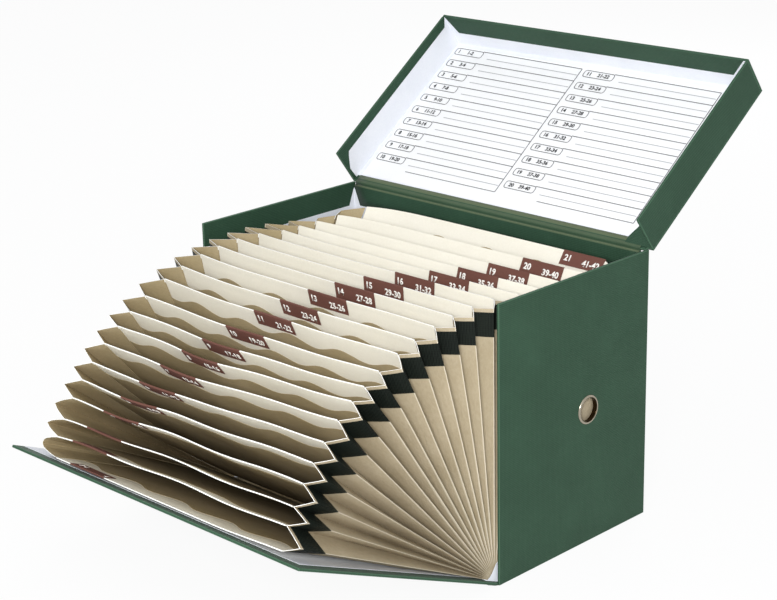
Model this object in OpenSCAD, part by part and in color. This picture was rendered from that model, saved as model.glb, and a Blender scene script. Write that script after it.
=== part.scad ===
// Expanding file box: a board case with a hinged lid, a drop front and a fan of pleated paper pockets.
// Millimetres, +Z up, +Y to the back. The origin is the middle of the case's underside.
// The box is drawn open: the drop front hangs from the fan and the lid leans back.

/* [Case] */
// Outer width of the case, left to right
case_w = 380; // [340:1:440]
// Outer depth of the case, front to back
case_d = 207; // [195:1:260]
// Height of the case walls
case_h = 260; // [258:1:320]
// Thickness of the cloth-covered board
board_t = 2.5; // [1.5:0.1:4]
// Thickness of the lining paper
lining_t = 0.3; // [0.2:0.05:0.6]
// Depth of the cloth turned in over the walls' top edges
turn_in = 24; // [10:1:40]

/* [Lid] */
// Depth of the lid's rims below the case top
rim_h = 39; // [20:1:60]
// Gap between the case and the lid's rims
rim_gap = 0.8; // [0.5:0.1:3]
// Gap between the wall tops and the closed lid's lining
lid_seat_gap = 0.2; // [0.1:0.05:0.5]
// Opening angle of the lid, from closed
lid_open = 144; // [90:1:170]
// Length of the side rims cut away at the lid's hinge
rim_setback = 5; // [4.5:0.5:20]
// Width of the cloth shown inside the lid, along its hinge
lid_cloth_w = 12; // [6:1:30]
// Margin of the printed index sheet inside the lid's lining
index_margin = 2; // [1:1:30]
// Thickness of the index sheet
index_t = 0.2; // [0.1:0.05:0.5]

/* [Drop front] */
// Height of the drop front from its hinge
flap_h = 256; // [240:1:257]
// Opening angle of the drop front, from closed
flap_open = 67; // [40:1:80]
// Gap between the case front and the closed drop front
flap_gap = 0.2; // [0.1:0.05:1]
// Width of the cloth turned in around the drop front's lining
flap_turn_in = 12; // [5:1:25]

/* [Hinges] */
// Radius of the rolled cloth in the drop front's crease
hinge_r = 1.2; // [0.8:0.1:1.6]
// Radius of the rolled cloth in the lid's crease
lid_hinge_r = 2.2; // [2:0.1:2.6]
// Running gap around each hinge crease
hinge_gap = 0.3; // [0.2:0.05:0.6]
// Distance of the lid's axis in front of the case's back
lid_axis_in = 4; // [3:0.1:4.2]
// Depth of the lid's axis below the wall tops
lid_axis_drop = 1; // [0.5:0.1:1.5]

/* [Finger ring] */
// Radius of the finger hole
ring_bore_r = 11; // [8:0.5:14]
// Radius of the ring's outer flange
ring_flange_r = 14.2; // [13.5:0.1:20]
// Wall of the ring's barrel
ring_wall = 0.8; // [0.5:0.1:1.2]
// Thickness of the ring's flange and of its washer
ring_flange_t = 0.8; // [0.5:0.1:1.2]
// Gap between the ring's barrel and the wall's hole
ring_gap = 0.3; // [0.1:0.1:0.5]
// Distance of the ring's middle from the case front
ring_from_front = 121; // [60:1:150]
// Height of the ring's middle
ring_z = 130; // [60:1:180]

/* [Fan of pockets] */
// Number of dividers
divider_count = 20; // [12:1:20]
// Width of a divider
divider_w = 304; // [260:1:306]
// Gap between the right wall's lining and the gusset's outer folds
fan_gap = 2.4; // [2:0.1:10]
// Distance by which the rear divider stands further to the right than the front one
rear_shift = 9; // [0:0.5:10]
// Radius of the front dividers' top edges about the drop front's hinge
divider_r = 255; // [238:1:256]
// Height of the rear dividers' top edges above that hinge
rear_top = 251; // [238:1:252]
// Radius of the dividers' lower edges
divider_in_r = 36; // [36:1:60]
// Thickness of a divider's card
card_t = 0.4; // [0.2:0.05:0.45]
// Thickness of a pocket's kraft sheet
kraft_t = 0.3; // [0.2:0.05:0.35]
// Angle of the front divider above the horizontal back line
front_angle = 151.5; // [148:0.1:153]
// Angle of the rear divider above the horizontal back line
rear_angle = 57.4; // [54:0.1:60]
// Share by which the dividers spread wider towards the rear
rear_spread = 0.384; // [0:0.01:0.6]
// Drop of the kraft sheet's wavy edge below the divider's top edge
wave_drop = 25; // [18:1:40]
// Height of a wave on that edge, from middle to crest
wave_h = 3.5; // [1:0.5:6]
// Length of a wave on that edge
wave_len = 62; // [40:1:100]

/* [Index labels] */
// Width of an index label
label_w = 48; // [30:1:60]
// Height of an index label
label_h = 14; // [8:0.5:16]
// Thickness of an index label
label_t = 0.2; // [0.1:0.05:0.3]
// Margin between the first label and its divider's left end
label_left = 21; // [1:0.5:30]
// Margin between the last label and its divider's right end
label_right = 9; // [1:0.5:30]

/* [Pleated gussets] */
// Depth of the gussets' pleats
pleat_d = 15.3; // [8:0.1:15.5]
// Sideways thickness of the gusset paper along its top edge
gusset_top_t = 0.9; // [0.6:0.1:1.4]
// Sideways thickness of the folded gusset paper along its lower edge
gusset_low_t = 2.4; // [1.6:0.1:3]
// Drop of the outer folds' tips below the dividers' top edges
tip_drop = 2; // [0:0.5:8]
// Gap between a divider's ends and the gussets
gusset_gap = 0.3; // [0.2:0.05:0.5]
// Inner radius of the black reinforcing tape
tape_in_r = 226.5; // [200:0.5:230]
// Width of the tape
tape_w = 22; // [10:1:23]
// Sideways thickness of the tape
tape_t = 0.6; // [0.3:0.1:1]
// Gap between the tape and the gusset paper
tape_gap = 0.1; // [0.05:0.05:0.2]

/* [Hidden] */
$fn = 64;
front_y = -case_d / 2;
back_y = case_d / 2;
half_w = case_w / 2;
inner_half_w = half_w - board_t;
base_top = board_t + lining_t;

// Axis of the drop front and of every divider
pivot_z = board_t + 0.5;
// Axis of the lid, in the slack of its hinge cloth
lid_axis_y = back_y - lid_axis_in;
lid_axis_z = case_h - lid_axis_drop;
crease_r = hinge_r + hinge_gap;
lid_crease_r = lid_hinge_r + hinge_gap;

// Lid sizes, drawn closed
lid_half_w = half_w + rim_gap + board_t;
lid_front_y = front_y - flap_gap - board_t - rim_gap - board_t;
lid_low_z = case_h + lid_seat_gap + lining_t;
lid_in_half_w = lid_half_w - board_t;
lid_in_front_y = lid_front_y + board_t;
lid_lining_back_y = lid_axis_y - lid_cloth_w;

// Fan sizes
fan_right = inner_half_w - lining_t - fan_gap - pleat_d;
fan_left = fan_right - divider_w;
fan_middle = (fan_left + fan_right) / 2;
gusset_in_r = divider_in_r - 12;
end_gap = gusset_low_t / 2 + gusset_gap;
flap_angle = 90 + flap_open;
spine_r = divider_in_r - hinge_gap;
first_in_r = divider_in_r + 24;
first_top_r = flap_h - flap_turn_in / 2;
label_step = (divider_w - 2 * end_gap - label_w - label_left - label_right) / (divider_count - 1);

cloth_green = [0.20, 0.31, 0.24];
paper_white = [0.93, 0.93, 0.95];
card_cream = [0.95, 0.94, 0.88];
kraft_brown = [0.72, 0.64, 0.51];
label_brown = [0.42, 0.26, 0.22];
tape_black = [0.09, 0.10, 0.10];
ring_metal = [0.78, 0.76, 0.70];

function two_digits(i) = i < 10 ? str("0", i) : str(i);
function divider_name(k) = str("divider_", two_digits(k + 1));
function sheet_name(k) = str("pocket_sheet_", two_digits(k + 1));

// Place of divider k, counted from the front, as an angle above the horizontal line to the back
function spread(u) = (u + rear_spread * u * u) / (1 + rear_spread);
function divider_angle(k) = front_angle - (front_angle - rear_angle) * spread(k / (divider_count - 1));

// Sideways place of divider k: the rear ones stand further to the right
function divider_shift(k) = rear_shift * pow(k / (divider_count - 1), 2);

// Radius of divider k's top edge: the rear dividers reach up to one level
function divider_top_r(k) =
    divider_angle(k) > 90 ? divider_r : max(divider_r, rear_top / sin(divider_angle(k)));

// A block between two corners
module block(low, high) {
    translate(low) cube(high - low);
}

// Board and lining of the case
module base_board() {
    color(cloth_green)
        block([-inner_half_w, front_y + crease_r, 0], [inner_half_w, back_y - board_t, board_t]);
}

module back_wall() {
    color(cloth_green)
        block([-inner_half_w, back_y - board_t, 0], [inner_half_w, back_y, lid_axis_z - lid_crease_r]);
}

module left_wall() {
    color(cloth_green)
        block([-half_w, front_y, 0], [-inner_half_w, back_y, case_h]);
}

module right_wall() {
    color(cloth_green)
        difference() {
            block([inner_half_w, front_y, 0], [half_w, back_y, case_h]);
            ring_axis(inner_half_w - board_t)
                cylinder(r = ring_bore_r + ring_wall + ring_gap, h = 3 * board_t);
        }
}

module case_lining() {
    top = case_h - turn_in;
    back = back_y - board_t;
    side = inner_half_w - lining_t;
    color(paper_white) {
        block([-inner_half_w, front_y + crease_r, board_t], [inner_half_w, back, base_top]);
        block([-side, back - lining_t, base_top], [side, back, top]);
        block([-inner_half_w, front_y + crease_r, base_top], [-side, back, top]);
        difference() {
            block([side, front_y + crease_r, base_top], [inner_half_w, back, top]);
            ring_axis(inner_half_w - board_t)
                cylinder(r = ring_bore_r + ring_wall + ring_gap, h = 3 * board_t);
        }
    }
}

// Metal finger ring through the right wall
module ring_axis(x) {
    translate([x, front_y + ring_from_front, ring_z]) rotate([0, 90, 0]) children();
}

module finger_ring() {
    barrel_r = ring_bore_r + ring_wall;
    wall_t = board_t + lining_t;
    color(ring_metal)
        ring_axis(half_w)
            rotate_extrude()
                polygon([
                    [ring_bore_r, -wall_t - ring_flange_t],
                    [barrel_r, -wall_t - ring_flange_t],
                    [barrel_r, 0],
                    [ring_flange_r, 0],
                    [ring_flange_r - ring_flange_t / 2, ring_flange_t],
                    [ring_bore_r, ring_flange_t],
                ]);
}

module ring_washer() {
    color(ring_metal)
        ring_axis(half_w - board_t - lining_t - ring_flange_t)
            difference() {
                cylinder(r = ring_flange_r, h = ring_flange_t);
                translate([0, 0, -ring_flange_t])
                    cylinder(r = ring_bore_r + ring_wall + ring_gap, h = 3 * ring_flange_t);
            }
}

// Rolled cloth in the two hinge creases
module hinge_crease(y, z, r) {
    length = 2 * inner_half_w - 2 * hinge_gap;
    color(cloth_green)
        translate([-length / 2, y, z]) rotate([0, 90, 0]) cylinder(r = r, h = length);
}

module lid_hinge_cloth() {
    hinge_crease(lid_axis_y, lid_axis_z, lid_hinge_r);
}

module flap_hinge_cloth() {
    hinge_crease(front_y, pivot_z, hinge_r);
}

// Bound lower edges of the pockets, glued to the bottom along the hinge
module pocket_spine() {
    color(kraft_brown)
        translate([fan_left + end_gap + rear_shift, front_y, pivot_z])
            rotate([90, 0, 90])
                linear_extrude(divider_w - 2 * end_gap - rear_shift)
                    difference() {
                        circle(r = spine_r);
                        translate([-2 * spine_r, -2 * spine_r])
                            square([2 * spine_r + hinge_gap, 4 * spine_r]);
                        translate([-2 * spine_r, -2 * spine_r])
                            square([4 * spine_r, 2 * spine_r + base_top - pivot_z]);
                        circle(r = crease_r);
                    }
}

// Lid, drawn closed and swung open about its hinge
module as_open_lid() {
    translate([0, lid_axis_y, lid_axis_z])
        rotate([-lid_open, 0, 0])
            translate([0, -lid_axis_y, -lid_axis_z])
                children();
}

// The panel is cut back at its hinge corners to pass the side walls
module lid_panel() {
    tongue = inner_half_w - hinge_gap;
    top = lid_low_z + board_t;
    color(cloth_green)
        as_open_lid() {
            block([-lid_half_w, lid_front_y, lid_low_z], [lid_half_w, lid_axis_y - rim_setback, top]);
            block([-tongue, lid_front_y, lid_low_z], [tongue, lid_axis_y - lid_crease_r, top]);
        }
}

module lid_front_rim() {
    color(cloth_green)
        as_open_lid()
            block([-lid_half_w, lid_front_y, case_h - rim_h],
                [lid_half_w, lid_in_front_y, lid_low_z]);
}

module lid_side_rims() {
    color(cloth_green)
        as_open_lid()
            for (side = [-1, 1])
                translate([side * (lid_half_w - board_t / 2), 0, 0])
                    block([-board_t / 2, lid_in_front_y, case_h - rim_h],
                        [board_t / 2, lid_axis_y - rim_setback, lid_low_z]);
}

module lid_lining() {
    color(paper_white)
        as_open_lid()
            block([-lid_in_half_w, lid_in_front_y, lid_low_z - lining_t],
                [lid_in_half_w, lid_lining_back_y, lid_low_z]);
}

module index_sheet() {
    color("white")
        as_open_lid()
            block([index_margin - inner_half_w, front_y + index_margin, lid_low_z - lining_t - index_t],
                [inner_half_w - index_margin, lid_lining_back_y - index_margin, lid_low_z - lining_t]);
}

// What turns about the drop front's hinge is drawn upright and tipped forward to its angle
module at_fan_angle(angle) {
    translate([0, front_y, pivot_z]) rotate([angle - 90, 0, 0]) children();
}

module flap_board() {
    color(cloth_green)
        at_fan_angle(flap_angle)
            block([-half_w, -flap_gap - board_t, crease_r], [half_w, -flap_gap, flap_h]);
}

// Lining of the drop front, with the first pocket's card and kraft sheet glued on it
module flap_lining() {
    side = half_w - flap_turn_in;
    left = fan_left + end_gap;
    right = fan_right - end_gap;
    card_y = lining_t - flap_gap;
    color(paper_white)
        at_fan_angle(flap_angle) {
            block([-side, -flap_gap, flap_turn_in], [side, card_y, flap_h - flap_turn_in]);
            block([left, -flap_gap, first_in_r], [right, card_y + card_t, first_top_r]);
            block([left, card_y, first_in_r], [right, card_y + card_t + kraft_t, first_top_r - wave_drop]);
        }
}

// Divider card with its index label
module divider(k) {
    top_r = divider_top_r(k);
    left = fan_left + end_gap + divider_shift(k);
    right = fan_right - end_gap + divider_shift(k);
    label_x = left + label_left + k * label_step;
    at_fan_angle(divider_angle(k)) {
        color(card_cream)
            block([left, -card_t, divider_in_r], [right, 0, top_r]);
        color(label_brown)
            block([label_x, -card_t - label_t, top_r - label_h], [label_x + label_w, -card_t, top_r]);
    }
}

// Kraft sheet on a divider's front, with its wavy top edge
module pocket_sheet(k) {
    left = fan_left + end_gap + divider_shift(k);
    right = fan_right - end_gap + divider_shift(k);
    crest_r = divider_top_r(k) - wave_drop;
    steps = 48;
    edge = [for (i = [0 : steps])
        let (x = left + (right - left) * i / steps)
        [x, crest_r + wave_h * sin(360 * (x - fan_middle) / wave_len)]];
    color(kraft_brown)
        at_fan_angle(divider_angle(k))
            translate([0, -card_t, 0])
                rotate([90, 0, 0])
                    linear_extrude(kraft_t)
                        polygon(concat([[right, divider_in_r], [left, divider_in_r]], edge));
}

// Folds of a gusset from the drop front to the rear divider: even ones lie on the dividers, odd ones stand out
last_fold = 2 * divider_count;
function on_divider(j) = j % 2 == 0;
function fold_angle(j) =
    j == 0 ? flap_angle :
    on_divider(j) ? divider_angle(j / 2 - 1) :
    (fold_angle(j - 1) + fold_angle(j + 1)) / 2;
// The first fold lies on the drop front's lining
function fold_lift(j) = j == 0 ? lining_t + gusset_gap : 0;
function fold_top_r(j) =
    j == 0 ? first_top_r :
    on_divider(j) ? divider_top_r(j / 2 - 1) - tip_drop / 2 :
    (fold_top_r(j - 1) + fold_top_r(j + 1)) / 2 - tip_drop / 2;
// Sideways place of a fold, counted outwards, on the right (hand 1) or on the left (hand -1)
function fold_x(j, hand) = j == 0 ? 0 : on_divider(j) ? hand * divider_shift(j / 2 - 1) : pleat_d;
function gusset_t(r) =
    gusset_low_t + (gusset_top_t - gusset_low_t) * (r - gusset_in_r) / (divider_r - gusset_in_r);
function fold_point(j, r, x, hand) =
    let (a = fold_angle(j) - atan(fold_lift(j) / r))
    [fold_x(j, hand) + x, front_y + r * cos(a), pivot_z + r * sin(a)];

// Radii of a fold's rings: lower edge, both edges of the tape and top edge
function tape_low(j) = tape_in_r + fold_top_r(j) - fold_top_r(1);
function fold_rings(j) = [gusset_in_r, tape_low(j), tape_low(j) + tape_w, fold_top_r(j)];

// Closed strip along all folds between two sideways offsets, with one row of points per ring
module folded_strip(hand, rings, low, high) {
    n = len(rings(0));
    points = [for (j = [0 : last_fold]) for (side = [0, 1]) for (r = rings(j))
        fold_point(j, r, side == 0 ? low(r) : high(r), hand)];
    at = function (j, side, i) (j * 2 + side) * n + i;
    quad = function (a, b, c, d) [[a, b, c], [a, c, d]];
    skins = [for (j = [0 : last_fold - 1]) for (i = [0 : n - 2])
        each concat(
            quad(at(j, 1, i), at(j, 1, i + 1), at(j + 1, 1, i + 1), at(j + 1, 1, i)),
            quad(at(j, 0, i), at(j + 1, 0, i), at(j + 1, 0, i + 1), at(j, 0, i + 1)))];
    edges = [for (j = [0 : last_fold - 1])
        each concat(
            quad(at(j, 0, 0), at(j, 1, 0), at(j + 1, 1, 0), at(j + 1, 0, 0)),
            quad(at(j, 1, n - 1), at(j, 0, n - 1), at(j + 1, 0, n - 1), at(j + 1, 1, n - 1)))];
    ends = [for (i = [0 : n - 2])
        each concat(
            quad(at(0, 1, i), at(0, 0, i), at(0, 0, i + 1), at(0, 1, i + 1)),
            quad(at(last_fold, 0, i), at(last_fold, 1, i), at(last_fold, 1, i + 1), at(last_fold, 0, i + 1)))];
    polyhedron(points, concat(skins, edges, ends));
}

module gusset_paper(hand) {
    color(kraft_brown)
        folded_strip(
            hand,
            function (j) fold_rings(j),
            function (r) -gusset_t(r) / 2,
            function (r) gusset_t(r) / 2);
}

module gusset_tape(hand) {
    color(tape_black)
        folded_strip(
            hand,
            function (j) [tape_low(j), tape_low(j) + tape_w],
            function (r) gusset_t(r) / 2 + tape_gap,
            function (r) gusset_t(r) / 2 + tape_gap + tape_t);
}

module on_right() {
    translate([fan_right, 0, 0]) children();
}

module on_left() {
    translate([fan_left, 0, 0]) mirror([1, 0, 0]) children();
}

module gusset_left() {
    on_left() gusset_paper(-1);
}

module gusset_right() {
    on_right() gusset_paper(1);
}

module gusset_tapes() {
    on_left() gusset_tape(-1);
    on_right() gusset_tape(1);
}

base_board();
back_wall();
left_wall();
right_wall();
case_lining();
finger_ring();
ring_washer();
lid_hinge_cloth();
flap_hinge_cloth();
pocket_spine();
gusset_left();
gusset_right();
gusset_tapes();
lid_panel();
lid_front_rim();
lid_side_rims();
lid_lining();
index_sheet();
flap_board();
flap_lining();
for (k = [0 : divider_count - 1]) divider(k);
for (k = [0 : divider_count - 1]) pocket_sheet(k);
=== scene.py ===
"""Looks of the expanding file box: a cloth-covered case with lid, drop front and a fan of paper pockets."""

import math

import bmesh
import bpy
from mathutils import Matrix, Vector


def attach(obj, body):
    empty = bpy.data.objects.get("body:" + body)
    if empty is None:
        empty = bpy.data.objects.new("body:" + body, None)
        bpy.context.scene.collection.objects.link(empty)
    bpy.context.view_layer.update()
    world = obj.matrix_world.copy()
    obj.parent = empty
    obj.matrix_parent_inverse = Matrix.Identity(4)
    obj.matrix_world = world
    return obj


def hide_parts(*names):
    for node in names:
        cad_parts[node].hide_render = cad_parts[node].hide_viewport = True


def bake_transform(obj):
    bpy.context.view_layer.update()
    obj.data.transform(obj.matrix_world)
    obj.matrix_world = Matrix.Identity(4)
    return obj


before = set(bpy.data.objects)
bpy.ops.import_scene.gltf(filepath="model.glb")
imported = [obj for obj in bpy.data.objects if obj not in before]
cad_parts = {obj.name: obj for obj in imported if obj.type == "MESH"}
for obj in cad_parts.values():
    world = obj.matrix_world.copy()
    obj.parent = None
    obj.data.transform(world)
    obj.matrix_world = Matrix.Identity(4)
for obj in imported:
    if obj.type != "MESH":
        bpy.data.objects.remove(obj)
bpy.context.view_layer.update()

# Sizes in millimetres and angles in degrees. First those of the solids, as in the part's source
MM = 0.001
FRONT_Y, BACK_Y = -103.5, 103.5
HALF_W, INNER_HALF_W, BOARD_T = 190.0, 187.5, 2.5
LINING_TOP = 236.0
PIVOT_Z = 3.0
LID_AXIS_Y, LID_AXIS_Z, LID_OPEN = 99.5, 259.0, 144.0
LID_IN_HALF_W, LID_IN_FRONT_Y, LID_LOW_Z = 190.8, -107.0, 260.5
RIM_FREE_Z, INDEX_FACE_Z = 221.0, 260.0
FLAP_ANGLE, FLAP_OPEN, FLAP_H, FLAP_TURN_IN = 157.0, 67.0, 256.0, 12.0
DIVIDERS, DIVIDER_R, REAR_TOP, DIVIDER_IN_R = 20, 255.0, 251.0, 36.0
FRONT_ANGLE, REAR_ANGLE, REAR_SPREAD, REAR_SHIFT = 151.5, 57.4, 0.384, 9.0
FRONT_GAP = 2.2
FAN_LEFT, FAN_RIGHT, END_GAP = -134.5, 169.5, 1.5
PLEAT_D, TAPE_W, TAPE_DROP = 15.3, 22.0, 3.5
LABEL_W, LABEL_H, LABEL_LEFT, LABEL_RIGHT = 48.0, 14.0, 21.0, 9.0
RING_Y, RING_Z = 17.5, 130.0
# then those of the papers: the kraft sheets' wavy edge, and the first pocket's card
WAVE_DROP, WAVE_H, WAVE_LEN, FAN_MIDDLE = 19.0, 3.5, 62.0, 17.5
FIRST_TOP_R, FIRST_IN_R = 250.0, 60.0
FIRST_GLUED_LIFT, FIRST_FREE_LIFT = 0.75, 2.5
# how much shorter the front cards are, and the cards between which they grow to their full width
FRONT_CUT, CUT_UP_TO, FULL_FROM = 6.5, 4, 13
# Paper never stands true: how far each card leans back from its plane in the middle
CARD_LEAN = (0.2, 0.1, 0.7, 0.7, 0.6, 0.8, 0.7, -0.1, -0.4, 0.2,
             0.0, 0.2, -0.2, -0.3, 0.2, 1.6, 1.1, 0.7, 0.8, 1.8)
# how its ends bow back, how it bulges forward at its label, and how it ripples
LEFT_BOW_FRONT, LEFT_BOW_GAIN, LEFT_BOW_LOSS = -0.7, 2.0, 3.2
RIGHT_BOW, LABEL_BULGE, RIPPLE = 1.1, 0.8, 0.22
# and how far out the left gusset's folds stand
LEFT_TIP_X = (-157.0,) * 14 + (-159.0, -165.0, -164.0, -153.0, -138.0, -139.0)


# ---------------------------------------------------------------- places

def smooth_step(t):
    t = min(max(t, 0.0), 1.0)
    return t * t * (3 - 2 * t)


def hump(v, middle, width):
    """1 at the middle, falling away to both sides over that width."""
    return math.exp(-(((v - middle) / width) ** 2))


def fan_place(x, angle, r, lift=0.0):
    """A point at radius r in the plane at that angle about the drop front's hinge, lifted to the rear."""
    a = math.radians(angle)
    y = FRONT_Y + r * math.cos(a) + lift * math.sin(a)
    z = PIVOT_Z + r * math.sin(a) - lift * math.cos(a)
    return Vector((x, y, z)) * MM


def lid_place(x, y, z):
    """A point of the closed lid, swung open with it."""
    turn = Matrix.Rotation(math.radians(-LID_OPEN), 3, "X")
    axis = Vector((0, LID_AXIS_Y, LID_AXIS_Z))
    return (turn @ (Vector((x, y, z)) - axis) + axis) * MM


def divider_angle(k):
    u = k / (DIVIDERS - 1)
    return FRONT_ANGLE - (FRONT_ANGLE - REAR_ANGLE) * (u + REAR_SPREAD * u * u) / (1 + REAR_SPREAD)


def divider_ends(k):
    shift = REAR_SHIFT * (k / (DIVIDERS - 1)) ** 2
    return FAN_LEFT + END_GAP + shift, FAN_RIGHT - END_GAP + shift


def turn_share(k):
    """Share of the drop front's turn that divider k makes."""
    closed = REAR_ANGLE + (90 - FRONT_GAP - REAR_ANGLE) * (DIVIDERS - 1 - k) / (DIVIDERS - 1)
    return (divider_angle(k) - closed) / FLAP_OPEN


def card_ends(k):
    """Ends of card k; the front cards are cut a little shorter."""
    left, right = divider_ends(k)
    return left, right - FRONT_CUT * (1 - smooth_step((k - CUT_UP_TO) / (FULL_FROM - CUT_UP_TO)))


def label_x(k):
    """Left end of divider k's label; the labels step from left to right."""
    step = (FAN_RIGHT - FAN_LEFT - 2 * END_GAP - LABEL_W - LABEL_LEFT - LABEL_RIGHT) / (DIVIDERS - 1)
    return divider_ends(k)[0] + LABEL_LEFT + k * step


def card_angle(k, x):
    """Angle of card k's top edge at x: it leans, bows towards its ends, bulges at its label and ripples."""
    left_end, right_end = card_ends(k)
    s = (x - left_end) / (right_end - left_end)
    left = LEFT_BOW_FRONT + LEFT_BOW_GAIN * smooth_step(k / 12) - LEFT_BOW_LOSS * smooth_step((k - 14) / 5)
    right = RIGHT_BOW * hump(k, 5.5, 3)
    flatness = 2 + 4 * (k / (DIVIDERS - 1)) ** 4
    bow = (left if s < 0.5 else right) * min(abs(2 * s - 1), 1.1) ** flatness
    bulge = LABEL_BULGE * hump(k, 4.5, 2.6) * hump(x, label_x(k) + LABEL_W / 2, 45)
    ripple = RIPPLE * math.sin(14 * s + 0.8 * k) * (1 - k / (DIVIDERS - 1))
    return divider_angle(k) - CARD_LEAN[k] - bow + bulge - ripple


def card_top(k, x):
    """Radius of card k's top edge at x; the rear cards all reach the same height."""
    a = card_angle(k, x)
    return DIVIDER_R if a > 90 else max(DIVIDER_R, REAR_TOP / math.sin(math.radians(a)))


def bent_angle(plain, at_top, share):
    """Angle of a card whose top edge has left its plane: it bends more and more towards that edge."""
    return plain + (at_top - plain) * share


def card_place(k, x, r, lift=0.0):
    angle = bent_angle(divider_angle(k), card_angle(k, x), r / card_top(k, x))
    return fan_place(x, angle, r, lift)


def flap_place(x, r, lift):
    return fan_place(x, FLAP_ANGLE, r, lift)


def first_lift(x, r):
    """How far the first pocket's card stands off the drop front: it is glued only along its lower half, and
    its right end curls up."""
    free = FIRST_FREE_LIFT + FIRST_FREE_LIFT * smooth_step((x - 80) / 90)
    return FIRST_GLUED_LIFT + free * smooth_step((r - 90) / 150)


def wave(x):
    """Height of the kraft sheets' wavy edge."""
    return WAVE_H * math.sin(2 * math.pi * (x - FAN_MIDDLE) / WAVE_LEN)


# ---------------------------------------------------------------- materials

def linear(code):
    """sRGB hex colour as linear RGBA."""
    parts = [int(code[i:i + 2], 16) / 255 for i in (1, 3, 5)]
    return tuple(c / 12.92 if c <= 0.04045 else ((c + 0.055) / 1.055) ** 2.4 for c in parts) + (1.0,)


def add(tree, kind, inputs=None, **settings):
    """Adds a node with its settings; inputs are values or sockets to link."""
    node = tree.nodes.new(kind)
    for name, value in settings.items():
        setattr(node, name, value)
    for name, value in (inputs or {}).items():
        if isinstance(value, bpy.types.NodeSocket):
            tree.links.new(value, node.inputs[name])
        else:
            node.inputs[name].default_value = value
    return node


def math_node(tree, operation, first, second):
    return add(tree, "ShaderNodeMath", {0: first, 1: second}, operation=operation).outputs[0]


def noise(tree, place, grain_mm, detail, **inputs):
    """Noise whose grains are about grain_mm millimetres across."""
    values = {"Vector": place, "Scale": 1 / (grain_mm * MM), "Detail": detail, **inputs}
    return add(tree, "ShaderNodeTexNoise", values).outputs["Fac"]


def rescale(tree, value, source=(0.0, 1.0), target=(0.0, 1.0)):
    """The value, with the range source stretched onto target."""
    ends = {0: value, 1: source[0], 2: source[1], 3: target[0], 4: target[1]}
    return add(tree, "ShaderNodeMapRange", ends).outputs[0]


def mix_colours(tree, share, first, second):
    """The first colour where share is 0 and the second where it is 1; each is a hex code or a socket."""
    first, second = (linear(c) if isinstance(c, str) else c for c in (first, second))
    return add(tree, "ShaderNodeMix", {0: share, 6: first, 7: second}, data_type="RGBA").outputs[2]


def fold_wear(tree):
    """How pale the piece is painted there along its folds: a painted highlight."""
    return add(tree, "ShaderNodeAttribute", attribute_name="fold_wear").outputs["Fac"]


def start_material(name, **shader_inputs):
    """A material with its shader, and the place on the piece for its patterns."""
    material = bpy.data.materials.new(name)
    material.use_nodes = True
    tree = material.node_tree
    tree.nodes.clear()
    values = {key.replace("_", " "): value for key, value in shader_inputs.items()}
    shader = add(tree, "ShaderNodeBsdfPrincipled", values)
    add(tree, "ShaderNodeOutputMaterial", {"Surface": shader.outputs[0]})
    place = add(tree, "ShaderNodeTexCoord").outputs["Object"]
    return material, tree, shader, place


def finish_shader(tree, shader, colour, roughness, height, relief_strength, relief_mm):
    """Links a material's colour, roughness and fine relief."""
    relief = add(tree, "ShaderNodeBump", {"Height": height, "Strength": relief_strength,
                                          "Distance": relief_mm * MM}).outputs[0]
    for name, socket in (("Base Color", colour), ("Roughness", roughness), ("Normal", relief)):
        tree.links.new(socket, shader.inputs[name])


# A cloth's threads lie 0.5 mm apart; they are drawn further apart so that they show
THREAD_MM = 1.7


def book_cloth(name, thread, gap, worn, sheen=0.06, gloss=0.14, threads_along="XYZ", turn=0.0, highlight_colour=None):
    # Book cloth: starched plain-woven cotton, dyed through. Matt, with a faint sheen and a fine even weave.
    material, tree, shader, place = start_material(name, Specular_IOR_Level=gloss, Sheen_Weight=sheen,
                                                   Sheen_Roughness=0.4)
    # the threads run along the board's own edges; a wave texture of scale 1 has its bands pi / 10 apart
    along = add(tree, "ShaderNodeMapping", {"Vector": place, "Rotation": (math.radians(turn), 0.0, 0.0)})
    pattern = {"Vector": along.outputs[0], "Scale": math.pi / (10 * THREAD_MM * MM), "Distortion": 0.6,
               "Detail": 1.0}
    weave = 0.0
    for axis in threads_along:
        bands = add(tree, "ShaderNodeTexWave", pattern, bands_direction=axis)
        weave = math_node(tree, "ADD", bands.outputs["Fac"], weave)
    # slubs, where a thread is thicker, and the dye's uneven patches
    slubs = noise(tree, place, 3, 3.0)
    patches = noise(tree, place, 60, 4.0, Roughness=0.65)
    count = len(threads_along)
    woven = mix_colours(tree, rescale(tree, weave, (0.2 * count, 0.8 * count)), gap, thread)
    colour = mix_colours(tree, rescale(tree, patches, (0.4, 0.75), (0.0, 0.45)), woven, worn)
    if highlight_colour:
        # along its folds the colour is painted pale: a painted highlight
        colour = mix_colours(tree, fold_wear(tree), colour, highlight_colour)
    height = math_node(tree, "ADD", weave, slubs)
    finish_shader(tree, shader, colour, rescale(tree, slubs, target=(0.5, 0.7)), height, 0.22, 0.4)
    return material


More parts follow.
